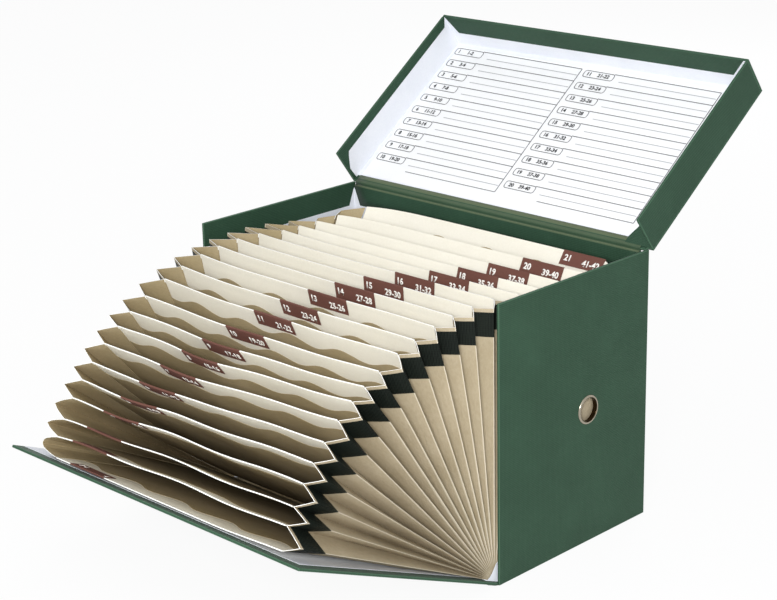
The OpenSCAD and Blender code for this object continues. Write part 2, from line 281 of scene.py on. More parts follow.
def pressed_paper(name, light, dark, fibre_mm, contrast, relief_mm, grain=(1.0, 1.0, 1.0), fold=None):
    # Paper: pressed wood fibres. Matt, clouded where the fibres lie thicker, with single darker fibres.
    material, tree, shader, place = start_material(name, Specular_IOR_Level=0.3)
    along = add(tree, "ShaderNodeMapping", {"Vector": place, "Scale": grain}).outputs[0]
    fibres = noise(tree, along, fibre_mm, 6.0, Roughness=0.7)
    clouds = noise(tree, place, 45, 3.0)
    level = rescale(tree, math_node(tree, "ADD", fibres, clouds), (1.0 - contrast, 1.0 + contrast))
    colour = mix_colours(tree, level, dark, light)
    if fold:
        # along its folds the paper is painted pale: a painted highlight on each fold
        colour = mix_colours(tree, fold_wear(tree), colour, fold)
    finish_shader(tree, shader, colour, rescale(tree, fibres, target=(0.75, 0.95)), fibres, 0.15, relief_mm)
    return material


def nickel_plate(name, dull, bright):
    # Nickel plate on stamped brass: bright and slightly warm, with fine turning marks and finger marks.
    material, tree, shader, place = start_material(name, Metallic=1.0)
    turning = noise(tree, place, 0.6, 4.0)
    marks = noise(tree, place, 8, 3.0)
    colour = mix_colours(tree, marks, dull, bright)
    finish_shader(tree, shader, colour, rescale(tree, marks, target=(0.12, 0.32)), turning, 0.05, 0.1)
    return material


def green_cloth(name, threads_along="XYZ", turn=0.0, highlight_colour=None):
    return book_cloth(name, "#34523E", "#284031", "#3A5945", threads_along=threads_along, turn=turn,
                      highlight_colour=highlight_colour)


CLOTH = green_cloth("green_book_cloth")
SIDE_CLOTH = green_cloth("side_wall_cloth", "YZ")
BACK_CLOTH = green_cloth("back_wall_cloth", "XZ")
BASE_CLOTH = green_cloth("base_cloth", "XY")
LID_TOP_CLOTH = green_cloth("lid_top_cloth", "XY", LID_OPEN)
LID_FRONT_CLOTH = green_cloth("lid_front_cloth", "XZ", LID_OPEN)
LID_SIDE_CLOTH = green_cloth("lid_side_cloth", "YZ", LID_OPEN)
FLAP_CLOTH = green_cloth("drop_front_cloth", "XY", -FLAP_ANGLE)
# the hinge cloth's pale colour is a painted highlight on its ridges and on the lid
HINGE_CLOTH = green_cloth("green_hinge_cloth", highlight_colour="#767E60")
# the rounded board edges are painted lighter: a painted highlight, and a little rubbing
EDGE_CLOTH_RUB_AND_HIGHLIGHT = book_cloth("cloth_edge_rub_and_highlight", "#46654F", "#3A5644", "#4E6D57")
TAPE = book_cloth("black_cloth_tape", "#191F1A", "#0D110E", "#20271F", sheen=0.0, gloss=0.12)
LINING = pressed_paper("white_lining_paper", "#F3F5FA", "#E6E9F1", 2.0, 0.45, 0.05)
INDEX_PAPER = pressed_paper("index_paper", "#FBFBFC", "#F3F4F5", 1.5, 0.5, 0.03)
CARD = pressed_paper("cream_divider_card", "#F5F1E4", "#E9E4D4", 2.0, 0.5, 0.05)
# cut edges, of the cards and of the gussets' tops, are painted near white: a painted highlight
CARD_EDGE_HIGHLIGHT = pressed_paper("card_edge_painted_highlight", "#FFFFFC", "#F8F7F1", 1.0, 0.5, 0.03)
# the gusset's folds are painted pale: a painted highlight along each fold
KRAFT = pressed_paper("kraft_gusset_paper", "#B7AA91", "#9E9074", 1.6, 0.4, 0.08,
                      grain=(1.0, 0.4, 0.4), fold="#E2D9C4")
# the pockets' kraft and the gussets' insides are painted a little browner than the gussets' outsides: painted
# bounced light inside the pockets
KRAFT_INSIDE = pressed_paper("kraft_pocket_paper", "#B6A686", "#9E8E6A", 1.6, 0.4, 0.08,
                             grain=(0.3, 1.0, 1.0))
LABEL = pressed_paper("brown_label_paper", "#744D42", "#5F3B33", 1.2, 0.45, 0.04)
NUMERAL = pressed_paper("white_printed_numerals", "#FFFDF8", "#F0ECE4", 1.0, 0.5, 0.02)
INK = pressed_paper("grey_printing_ink", "#6C6C6E", "#5C5C5E", 1.0, 0.5, 0.02)
INK_PALE = pressed_paper("pale_printing_ink", "#B4B4B8", "#A6A6AA", 1.0, 0.5, 0.02)
INK_DARK = pressed_paper("dark_printing_ink", "#3C3C3E", "#2C2C2E", 1.0, 0.5, 0.02)
NICKEL = nickel_plate("nickel_plate", "#8E8677", "#B4AC9C")
# inside the barrel the plate is painted dark brown: painted shade for the barrel's shadowed inside
BARREL_SHADE = nickel_plate("nickel_painted_shade", "#2E2418", "#4A3C2A")


# ---------------------------------------------------------------- making pieces

STRIP_COLUMNS = 24


def sheet(columns, rows, place):
    """A sheet whose points place(s, t) puts, s across and t up it, both from 0 to 1."""
    bm = bmesh.new()
    bmesh.ops.create_grid(bm, x_segments=columns, y_segments=rows, size=0.5)
    for vert in bm.verts:
        vert.co = place(vert.co.x + 0.5, vert.co.y + 0.5)
    return bm


def strip(ends, profile, highlight=None, mitre=()):
    """A strip along X between its ends, whose section runs through the profile's (y, z) points, each with
    its painted highlight. mitre shortens the first rows at their left end."""
    def place(s, t):
        i = round(t * (len(profile) - 1))
        left = ends[0] + (mitre[i] if i < len(mitre) else 0.0)
        return Vector((left + s * (ends[1] - left), profile[i][0], profile[i][1])) * MM
    bm = sheet(STRIP_COLUMNS, len(profile) - 1, place)
    if highlight:
        layer = bm.verts.layers.float.new("fold_wear")
        for vert in bm.verts:
            vert[layer] = highlight[vert.index // (STRIP_COLUMNS + 1)]
    return bm


def cut_size(ends, profile):
    """Width and length in metres that a strip was cut to."""
    return (ends[1] - ends[0]) * MM, sum(math.dist(a, b) for a, b in zip(profile, profile[1:])) * MM


def outline_sheet(corners):
    """A flat sheet with the given corners."""
    bm = bmesh.new()
    bm.faces.new([bm.verts.new(c) for c in corners])
    return bm


def piece(name, bm, materials, body=None, hides=(), smooth=False):
    """Makes the object of a finished mesh, on its body."""
    mesh = bpy.data.meshes.new(name)
    bm.to_mesh(mesh)
    bm.free()
    for material in materials:
        mesh.materials.append(material)
    if smooth:
        mesh.shade_smooth()
        mesh.set_sharp_from_angle(angle=math.radians(50))
    obj = bpy.data.objects.new(name, mesh)
    bpy.context.scene.collection.objects.link(obj)
    if body:
        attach(obj, body)
    if hides:
        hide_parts(*hides)
    return obj


def thicken(obj, mm, offset=0.0, back=0, rim=0):
    """Gives a sheet its thickness; back and rim step on to the materials of its back and its cut edge."""
    solid = obj.modifiers.new("thickness", "SOLIDIFY")
    solid.thickness = mm * MM
    solid.offset = offset
    solid.material_offset = back
    solid.material_offset_rim = rim
    return solid


def numerals(text, height):
    """Flat numerals of that height in millimetres, as a mesh whose lower left corner is at the origin."""
    words = bpy.data.curves.new("numerals", "FONT")
    words.body = text
    words.offset = 0.035
    words.resolution_u = 3
    holder = bpy.data.objects.new("numerals", words)
    bpy.context.scene.collection.objects.link(holder)
    mesh = bpy.data.meshes.new_from_object(holder.evaluated_get(bpy.context.evaluated_depsgraph_get()))
    bpy.data.objects.remove(holder)
    bpy.data.curves.remove(words)
    low = Vector(min(v.co[i] for v in mesh.vertices) for i in range(3))
    tall = max(v.co.y for v in mesh.vertices) - low.y
    mesh.transform(Matrix.Scale(height / tall, 4) @ Matrix.Translation(-low))
    return mesh


def add_numerals(bm, text, height, place, material, right_aligned=False):
    """Adds numerals to a mesh; place(u, v) puts a point u across and v up from their corner."""
    mesh = numerals(text, height)
    width = max(v.co.x for v in mesh.vertices) if right_aligned else 0.0
    for vert in mesh.vertices:
        vert.co = place(vert.co.x - width, vert.co.y)
    first = len(bm.faces)
    bm.from_mesh(mesh)
    bm.faces.ensure_lookup_table()
    for face in bm.faces[first:]:
        face.material_index = material
    bpy.data.meshes.remove(mesh)


def pages(number):
    """Made-up page numbers of a pocket."""
    return "%d-%d" % (2 * number - 1, 2 * number)


# ---------------------------------------------------------------- boards, in their cloth

def dress(name, material, edge_mm=0.0, edge_material=None):
    """Gives a solid its material, and rounds its edges as cloth over board does; their lighter cloth is a
    painted highlight on the rounding, with a little rubbing.
    """
    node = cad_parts[name]
    node.data.materials.clear()
    node.data.materials.append(material)
    if edge_mm:
        node.data.materials.append(edge_material or material)
        node.modifiers.new("weld", "WELD").merge_threshold = 1e-5
        bevel = node.modifiers.new("rounded_edges", "BEVEL")
        bevel.width = edge_mm * MM
        bevel.segments = 3
        bevel.limit_method = "ANGLE"
        bevel.angle_limit = math.radians(40)
        bevel.material = 1


for board, cloth in (("base_board", BASE_CLOTH), ("back_wall", BACK_CLOTH), ("left_wall", SIDE_CLOTH),
                     ("right_wall", SIDE_CLOTH), ("lid_panel", LID_TOP_CLOTH),
                     ("lid_front_rim", LID_FRONT_CLOTH), ("lid_side_rims", LID_SIDE_CLOTH),
                     ("flap_board", FLAP_CLOTH)):
    dress(board, cloth, 0.8, EDGE_CLOTH_RUB_AND_HIGHLIGHT)
dress("case_lining", LINING)
dress("lid_lining", LINING)
dress("index_sheet", INDEX_PAPER)
dress("pocket_spine", KRAFT_INSIDE)
dress("ring_washer", NICKEL, 0.2)

# Finger ring: a stamped eyelet with a rolled flange. Its section is (radius, distance out from the wall)
BARREL_R = 12.0
section = ((11.4, -3.6), (11.4, 0.0), (11.5, 0.6), (11.8, 1.05), (12.3, 1.25), (12.9, 1.15), (13.4, 0.8),
           (13.7, 0.35), (13.8, 0.0), (BARREL_R, 0.0), (BARREL_R, -3.6))
bm = bmesh.new()
rim_points = [bm.verts.new(Vector((HALF_W + x, RING_Y + r, RING_Z)) * MM) for r, x in section]
rim_lines = [bm.edges.new((a, b)) for a, b in zip(rim_points, rim_points[1:] + rim_points[:1])]
bmesh.ops.spin(bm, geom=rim_points + rim_lines, cent=Vector((HALF_W, RING_Y, RING_Z)) * MM, axis=(1, 0, 0),
               angle=2 * math.pi, steps=64, use_merge=True)
bmesh.ops.recalc_face_normals(bm, faces=bm.faces)
for face in bm.faces:
    middle = face.calc_center_median() / MM
    # faces inside the barrel get the dark brown plate, as painted shade
    face.material_index = 1 if math.hypot(middle.y - RING_Y, middle.z - RING_Z) < BARREL_R else 0
piece("finger_eyelet", bm, [NICKEL, BARREL_SHADE], "case", ["finger_ring"], smooth=True)

# Lid hinge: cloth over the back wall's top edge, down into the crease and up onto the lid
lid_along = Vector((0, math.cos(math.radians(180 - LID_OPEN)), math.sin(math.radians(180 - LID_OPEN))))
lid_out = Vector((0, lid_along.z, -lid_along.y))


def on_lid(along, out):
    """(y, z) of a point by its distances along the open lid and out from it, from the hinge's axis."""
    p = Vector((0, LID_AXIS_Y, LID_AXIS_Z)) + lid_along * along + lid_out * out
    return p.y, p.z


inner_ends, outer_ends = (-186.8, 180.0), (-187.0, 180.0)
inner_run = [(100.85, 237.0), (100.8, 245.0), (100.75, 255.2), (100.9, 256.4), (101.4, 257.0), (102.0, 257.1),
             (102.6, 257.0), on_lid(1.9, 3.5), on_lid(2.2, 2.9), on_lid(2.6, 1.6), on_lid(3.3, 0.95),
             on_lid(4.4, 0.8), on_lid(6.4, 1.2), on_lid(7.2, 1.3), on_lid(8.2, 1.2), on_lid(12.5, 1.3)]
# painted pale on the wall's top edge and on the lid, a painted highlight where the cloth turns to the light,
# and left dark in the crease as painted shade
inner_highlight = (0.0, 0.0, 0.0, 0.4, 0.6, 0.4, 0.25, 0.15, 0.1, 0.1, 0.2, 0.3, 0.25, 0.0, 0.55, 0.7)
hinge_inside = piece("lid_hinge_cloth_inside", strip(inner_ends, inner_run, inner_highlight, (8.0, 4.6, 0.8)),
                     [HINGE_CLOTH], hides=["lid_hinge_cloth"], smooth=True)
cut_size(inner_ends, inner_run)
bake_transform(hinge_inside)
outer_run = [(103.75, 244.0), (103.75, 250.0), (103.75, 254.5), (103.85, 255.8), (104.2, 256.6),
             (104.8, 257.3), on_lid(4.2, 4.25), on_lid(6.0, 4.25), on_lid(10.0, 4.25), on_lid(14.0, 4.25)]
outer_wear = (0.0, 0.0, 0.05, 0.15, 0.25, 0.25, 0.15, 0.05, 0.0, 0.0)
hinge_outside = piece("lid_hinge_cloth_outside", strip(outer_ends, outer_run[::-1], outer_wear[::-1]),
                      [HINGE_CLOTH], hides=["lid_hinge_cloth"], smooth=True)
cut_size(outer_ends, outer_run)
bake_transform(hinge_outside)
for strip_of_cloth in (hinge_inside, hinge_outside):
    thicken(strip_of_cloth, 0.35)

# Run and rise of the drop front for each millimetre of radius
FLAP_RUN, FLAP_RISE = 0.9205, 0.3907


def along_flap(radii, dy, dz):
    """Section points that follow the drop front, moved off it by (dy, dz)."""
    return [(FRONT_Y - FLAP_RUN * r + dy, PIVOT_Z + FLAP_RISE * r + dz) for r in radii]


# Drop front's hinge: a white guard inside
guard_run = [(-94.0, 2.95), (-98.0, 2.95), (-101.0, 2.98), (-103.0, 3.1), (-104.6, 3.6)]
guard_run += along_flap((3.5, 6.0, 10.0, 15.0), 0.12, 0.28)
flap_guard = piece("flap_hinge_guard", strip((-186.5, 186.5), guard_run[::-1]), [LINING],
                   hides=["flap_hinge_cloth"], smooth=True)
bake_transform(flap_guard)
# kraft paper that closes the front pockets' feet over it, between the gussets
foot_run = [(-95.0, 3.3), (-98.0, 3.3), (-101.0, 3.35), (-103.0, 3.5), (-104.5, 4.05)]
foot_run += along_flap((3.5, 6.0, 10.0, 16.0, 22.0, 35.0, 48.0), 0.27, 0.64)
foot_sheet = strip((-156.2, FAN_RIGHT - 7.0), foot_run[::-1], mitre=(9.0, 6.6, 3.4))
pocket_foot = piece("pocket_foot_paper", foot_sheet, [KRAFT_INSIDE], smooth=True)
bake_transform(pocket_foot)
# and cloth outside
cloth_ends = (-189.0, 189.0)
cloth_run = [(-99.0, 0.25), (-101.0, 0.25), (-102.6, 0.35), (-103.8, 0.6), (-105.2, 1.0)]
cloth_run += along_flap((3.5, 6.0, 9.0, 14.0), -1.15, -2.7)
flap_cloth = piece("flap_hinge_cloth_outside", strip(cloth_ends, cloth_run), [CLOTH],
                   hides=["flap_hinge_cloth"], smooth=True)
cut_size(cloth_ends, cloth_run)
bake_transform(flap_cloth)
for hinge_strip in (flap_guard, pocket_foot, flap_cloth):
    thicken(hinge_strip, 0.3)

# White lining shows in the slits between the turned-in cloths at the case's rear corners
SLIT_TOP, SLIT_SPLIT, SLIT_OFF = 254.0, 252.0, 0.12
for hand, name in ((-1, "left"), (1, "right")):
    wall_x = hand * (INNER_HALF_W - SLIT_OFF)
    back_y = BACK_Y - BOARD_T - SLIT_OFF
    on_wall = ((wall_x, back_y, SLIT_TOP), (wall_x, back_y, LINING_TOP), (wall_x, back_y - 7.5, LINING_TOP),
               (wall_x, back_y - 1.2, SLIT_SPLIT))
    on_back = ((wall_x, back_y, SLIT_TOP), (wall_x - hand * 1.4, back_y, SLIT_SPLIT),
               (wall_x - hand * 8, back_y, LINING_TOP), (wall_x, back_y, LINING_TOP))
    bm = outline_sheet([Vector(c) * MM for c in on_wall])
    bm.faces.new([bm.verts.new(Vector(c) * MM) for c in on_back])
    bmesh.ops.remove_doubles(bm, verts=bm.verts, dist=1e-6)
    slit = piece("corner_slit_" + name, bm, [LINING], "case")
    thicken(slit, 0.15)

# White paper foot on the outside of each gusset, between the case's front edge and the drop front
foot_outline = ((-101.0, 3.4), (-101.0, 21.5), (-103.6, 20.0), (-106.2, 16.0), (-109.0, 12.3), (-112.0, 9.8),
                (-115.0, 8.4), (-103.7, 3.6))
for foot_x, name in ((-158.4, "left"), (185.9, "right")):
    bm = outline_sheet([Vector((foot_x, y, z)) * MM for y, z in foot_outline])
    foot = piece("gusset_foot_" + name, bm, [LINING])
    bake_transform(foot)
    thicken(foot, 0.2)

# ---------------------------------------------------------------- lid

# Lining of the rims; the cloth is turned in over their free edges and mitred in the corners
RIM_LINING_T, MITRE_Z, RIM_TURN_IN = 0.18, RIM_FREE_Z + 0.8, 10
for hand, name in ((-1, "left"), (1, "right")):
    face_x = hand * (LID_IN_HALF_W - 0.1)
    corners = ((LID_IN_FRONT_Y, MITRE_Z), (LID_IN_FRONT_Y + 6.5, RIM_FREE_Z + RIM_TURN_IN),
               (81.0, RIM_FREE_Z + RIM_TURN_IN), (84.0, RIM_FREE_Z + 14), (91.0, 247.0), (90.0, LID_LOW_Z),
               (LID_IN_FRONT_Y, LID_LOW_Z))
    bm = outline_sheet([lid_place(face_x, y, z) for y, z in corners])
    thicken(piece("rim_lining_" + name, bm, [LINING], "lid"), RIM_LINING_T)
# across, as shares of the half width
front_corners = ((-1.0, MITRE_Z), (-0.953, 244.0), (0.885, 244.0), (0.985, MITRE_Z), (1.0, MITRE_Z),
                 (1.0, LID_LOW_Z), (-1.0, LID_LOW_Z))
bm = outline_sheet([lid_place(x * LID_IN_HALF_W, LID_IN_FRONT_Y + 0.1, z) for x, z in front_corners])
thicken(piece("rim_lining_front", bm, [LINING], "lid"), RIM_LINING_T)


# The cloth turned in over the panel's right edge shows beside the lining, next to the hinge; beyond the index
# sheet it steps up and clears the case's wall
def on_turn_in(s, t):
    column, row = round(3 * s), round(2 * t)
    x = ((165.5, 161.0, 161.0)[row], 186.0, 187.2, 190.5)[column]
    return lid_place(x, (71.0, 86.0, 94.0)[row], INDEX_FACE_Z + (-0.1, -0.1, 0.2, 0.3)[column])


thicken(piece("panel_turn_in", sheet(3, 2, on_turn_in), [LID_TOP_CLOTH], "lid"), 0.15)

# Printed index: two columns of ten ruled rows, each with a numbered box
INDEX_ROWS, ROW_PITCH, FIRST_ROW_Y = 10, 17.1, -100.0
INDEX_LEFT, INDEX_W = -186.5, 342
BOX_W, BOX_H, BOX_ROUND, BOX_LINE = 38.5, 9.6, 3.0, 0.8
INDEX_TEXT_H, TEXT_DOWN = 4.8, 7
# the printing's materials, by their place in the piece's list
GREY, PALE, DARK = 0, 1, 2


def on_index(x, y, up=0.25):
    """A point of the printing, which sits a little askew on its sheet."""
    u, v = (x - INDEX_LEFT) / INDEX_W, (y - FIRST_ROW_Y) / (INDEX_ROWS * ROW_PITCH)
    return lid_place(x + 3.0 * v * (1 - 0.5 * u), y + 3.9 * u * (1 - 0.75 * v), INDEX_FACE_Z - up)


def rule(bm, x0, y0, x1, y1, width, material):
    """A printed line along X or along Y."""
    dx, dy = (0, width / 2) if y0 == y1 else (width / 2, 0)
    corners = ((x0 - dx, y0 - dy), (x1 + dx, y0 - dy), (x1 + dx, y1 + dy), (x0 - dx, y1 + dy))
    face = bm.faces.new([bm.verts.new(on_index(x, y)) for x, y in corners])
    face.material_index = material


def number_box(bm, x0, y0):
    """A printed box with rounded corners."""
    ring = bmesh.new()
    bmesh.ops.create_grid(ring, x_segments=1, y_segments=1, size=0.5)
    bmesh.ops.scale(ring, vec=(BOX_W, BOX_H, 1), verts=ring.verts)
    bmesh.ops.bevel(ring, geom=ring.verts[:], offset=BOX_ROUND, segments=4, profile=0.5, affect="VERTICES",
                    material=-1)
    bmesh.ops.inset_region(ring, faces=ring.faces[:], use_boundary=True, use_even_offset=True,
                           thickness=BOX_LINE)
    middle = max(ring.faces, key=lambda f: f.calc_area())
    bmesh.ops.delete(ring, geom=[middle], context="FACES_ONLY")
    for vert in ring.verts:
        vert.co = on_index(x0 + BOX_W / 2 + vert.co.x, y0 + BOX_H / 2 + vert.co.y)
    mesh = bpy.data.meshes.new("number_box")
    ring.to_mesh(mesh)
    ring.free()
    bm.from_mesh(mesh)
    bpy.data.meshes.remove(mesh)


bm = bmesh.new()
last_y = FIRST_ROW_Y + INDEX_ROWS * ROW_PITCH
for column, (box_x, line_end) in enumerate(((INDEX_LEFT, -15.5), (-10.5, 155.5))):
    for row in range(INDEX_ROWS):
        y = FIRST_ROW_Y + row * ROW_PITCH
        number = column * INDEX_ROWS + row + 1
        number_box(bm, box_x, y)
        rule(bm, box_x + 37, y, line_end, y, 0.9, GREY)
        rule(bm, box_x + 47, y + 8.8, line_end - 1.5, y + 8.8, 0.8, PALE)
        for text, across in ((str(number), 5), (pages(number), 18)):
            add_numerals(bm, text, INDEX_TEXT_H,
                         lambda u, v: on_index(box_x + across + u, y + TEXT_DOWN - v, 0.3), DARK)
    rule(bm, box_x + 49, last_y, line_end, last_y, 0.8, GREY)
    rule(bm, line_end, FIRST_ROW_Y, line_end, last_y, 0.9, GREY)
for face in bm.faces:
    face.normal_update()
piece("index_print", bm, [INK, INK_PALE, INK_DARK], "lid")

# ---------------------------------------------------------------- drop front

# the lining covers the turned-in cloth at the left edge
lining_ends = (2.5 - HALF_W, HALF_W - FLAP_TURN_IN)
bm = sheet(24, 16, lambda s, t: flap_place(lining_ends[0] + s * (lining_ends[1] - lining_ends[0]),
                                           FLAP_TURN_IN + t * (FLAP_H - 2 * FLAP_TURN_IN), 0.05))
flap_paper = piece("flap_lining_paper", bm, [LINING], "drop_front", ["flap_lining"])
thicken(flap_paper, 0.3)


# ---------------------------------------------------------------- fan of pockets

# A card is 0.4 mm thick, and with its hem 1 mm; the hem is drawn 5 mm wide and runs out over 3 mm
CARD_COLUMNS, CARD_ROWS = 48, 24
HEM_T, CARD_SHARE, HEM_W, HEM_END = 1.0, 0.4, 5, 3
CORNER_R = 14
KRAFT_COLUMNS, KRAFT_ROWS = 60, 14
KRAFT_T, KRAFT_LIFT, KRAFT_LOW, FIRST_KRAFT_LOW = 0.2, 0.32, 38.0, 45.0
FIRST_WAVE_DROP, FIRST_SWELL = 29.0, 1.7
LABEL_T, LABEL_LIFT, NUMERAL_LIFT, LABEL_TEXT_H = 0.2, 0.75, 0.9, 6.4


def card_edge(k, x):
    """Card k's top edge: the rear card's right corner is rounded."""
    inset = x - (card_ends(k)[1] - CORNER_R)
    if k < DIVIDERS - 1 or inset < 0:
        return card_top(k, x)
    return card_top(k, x) - CORNER_R + math.sqrt(max(CORNER_R ** 2 - inset ** 2, 0))


def make_card(name, left, right, low, top, place, body, hides):
    """A cream card with a folded hem along its top edge, whose cut edge is painted near white: a painted
    highlight that shows as a bright line.
    """
    def spot(s, t):
        x = left + s * (right - left)
        return x, low + (top(x) - low) * (1 - (1 - t) ** 2)
    bm = sheet(CARD_COLUMNS, CARD_ROWS, lambda s, t: place(*spot(s, t), 0.0))
    hem = [smooth_step((spot(0.5, row / CARD_ROWS)[1] - top(0) + HEM_W) / HEM_END)
           for row in range(CARD_ROWS + 1)]
    card = piece(name, bm, [CARD, CARD_EDGE_HIGHLIGHT], body, hides)
    group = card.vertex_groups.new(name="hem")
    for vert in card.data.vertices:
        group.add([vert.index], hem[vert.index // (CARD_COLUMNS + 1)], "REPLACE")
    solid = thicken(card, HEM_T, rim=1)
    solid.vertex_group = "hem"
    solid.thickness_vertex_group = CARD_SHARE


def make_kraft(name, left, right, low, top, place, lift, body, hides, drop=WAVE_DROP, swell=1.0):
    """A kraft sheet with a wavy top edge, glued to a card; drop is how far below the card's edge it ends."""
    def spot(s, t):
        x = left + s * (right - left)
        return place(x, low + (top(x) - drop + swell * wave(x) - low) * t, lift)
    bm = sheet(KRAFT_COLUMNS, KRAFT_ROWS, spot)
    if lift < 0:
        bmesh.ops.reverse_faces(bm, faces=bm.faces)
    thicken(piece(name, bm, [KRAFT_INSIDE], body, hides), KRAFT_T)


def make_label(name, x0, top, place, number, front, body):
    """A brown label folded over a card's top edge, with white numerals; front is -1 or 1, the side read."""
    run = ((LABEL_H, -LABEL_LIFT), (LABEL_H / 2, -LABEL_LIFT), (1.0, -LABEL_LIFT), (-0.2, -0.7), (-0.4, 0.0),
           (-0.2, 0.7), (1.0, LABEL_LIFT), (LABEL_H / 2, LABEL_LIFT), (LABEL_H, LABEL_LIFT))

    def on_label(across, down, lift):
        return place(x0 + across, top(x0 + across) - down, lift)
    last = len(run) - 1
    bm = sheet(12, last, lambda s, t: on_label(s * LABEL_W, *run[round(t * last)]))
    printing = ((str(number), 3.5, 9.8, False), (pages(number), 44.5, 11.6, True))
    for text, across, base, right_aligned in printing:
        def on_front(u, v):
            read = across + u
            return on_label(read if front < 0 else LABEL_W - read, base - v, front * NUMERAL_LIFT)
        add_numerals(bm, text, LABEL_TEXT_H, on_front, 1, right_aligned)
    thicken(piece(name, bm, [LABEL, NUMERAL], body), LABEL_T)


for k in range(DIVIDERS):
    tag = "%02d" % (k + 1)
    body = "pocket_" + tag if k < DIVIDERS - 1 else "case"
    left, right = card_ends(k)

    def place(x, r, lift):
        return card_place(k, x, r, lift)

    def top(x):
        return card_top(k, x)

    make_card("card_" + tag, left, right, DIVIDER_IN_R, lambda x: card_edge(k, x), place, body,
              ["divider_" + tag])
    for side, lift in (("front", -KRAFT_LIFT), ("rear", KRAFT_LIFT)):
        make_kraft("kraft_%s_%s" % (side, tag), left, right, KRAFT_LOW, top, place, lift, body,
                   ["pocket_sheet_" + tag])
    make_label("label_" + tag, label_x(k), top, place, k + 2, -1, body)

# First pocket's card and kraft sheet, glued on the drop front's lining
first_left, first_right = card_ends(0)


def first_place(x, r, lift):
    return flap_place(x, r, first_lift(x, r) + max(lift, -0.4))


def first_top(x):
    return FIRST_TOP_R


make_card("card_first", first_left, first_right, FIRST_IN_R, first_top, first_place, "drop_front",
          ["flap_lining"])
make_kraft("kraft_first", first_left, first_right, FIRST_KRAFT_LOW, first_top, first_place, KRAFT_LIFT,
           "drop_front", ["flap_lining"], FIRST_WAVE_DROP, FIRST_SWELL)
make_label("label_first", label_x(0), first_top, first_place, 1, 1, "drop_front")


# ---------------------------------------------------------------- pleated gussets

PLEAT_ROWS = (4.0, 12.0, 20.0, 27.0, 34.0, 46.0, 62.0, 85.0, 115.0, 150.0, 185.0, 212.0)
PLEAT_COLUMNS = 10
PLEAT_T, TIP_DROP, DRAW_IN = 0.5, 2, 4.7
# a pleat is pressed flat below this radius
PRESSED_R = 16
# half the width of the painted highlight along a fold
FOLD_LINE = 0.6
# the front pleats on the left are pressed round, by these shares
LEFT_ROUNDING = {0: 1.0, 1: 0.4, 2: 0.25}
# the outsides of the tape and of the strip above it, by their place in a pleat's list of materials
TAPE_OUTSIDE, ABOVE_TAPE_OUTSIDE = 3, 6


def smooth_step_back(w):
    """The t at which smooth_step gives w."""
    return 0.5 - math.sin(math.asin(1 - 2 * min(max(w, 0.0), 1.0)) / 3)


def fold(k, hand):
    """(x, angle at the top, top radius, turn share, angle at the foot) of the fold on divider k, or on the
    drop front where k is -1."""
    left, right = card_ends(max(k, 0))
    x = right + END_GAP if hand > 0 else left - END_GAP
    if k == DIVIDERS - 2 and hand < 0:
        # it clears the left ends of the cards before it when they close up
        x -= 1.2
    if k < 0:
        return x, FLAP_ANGLE, FIRST_TOP_R, 1.0, FLAP_ANGLE
    return x, card_angle(k, x), card_top(k, x) - 1, turn_share(k), divider_angle(k)


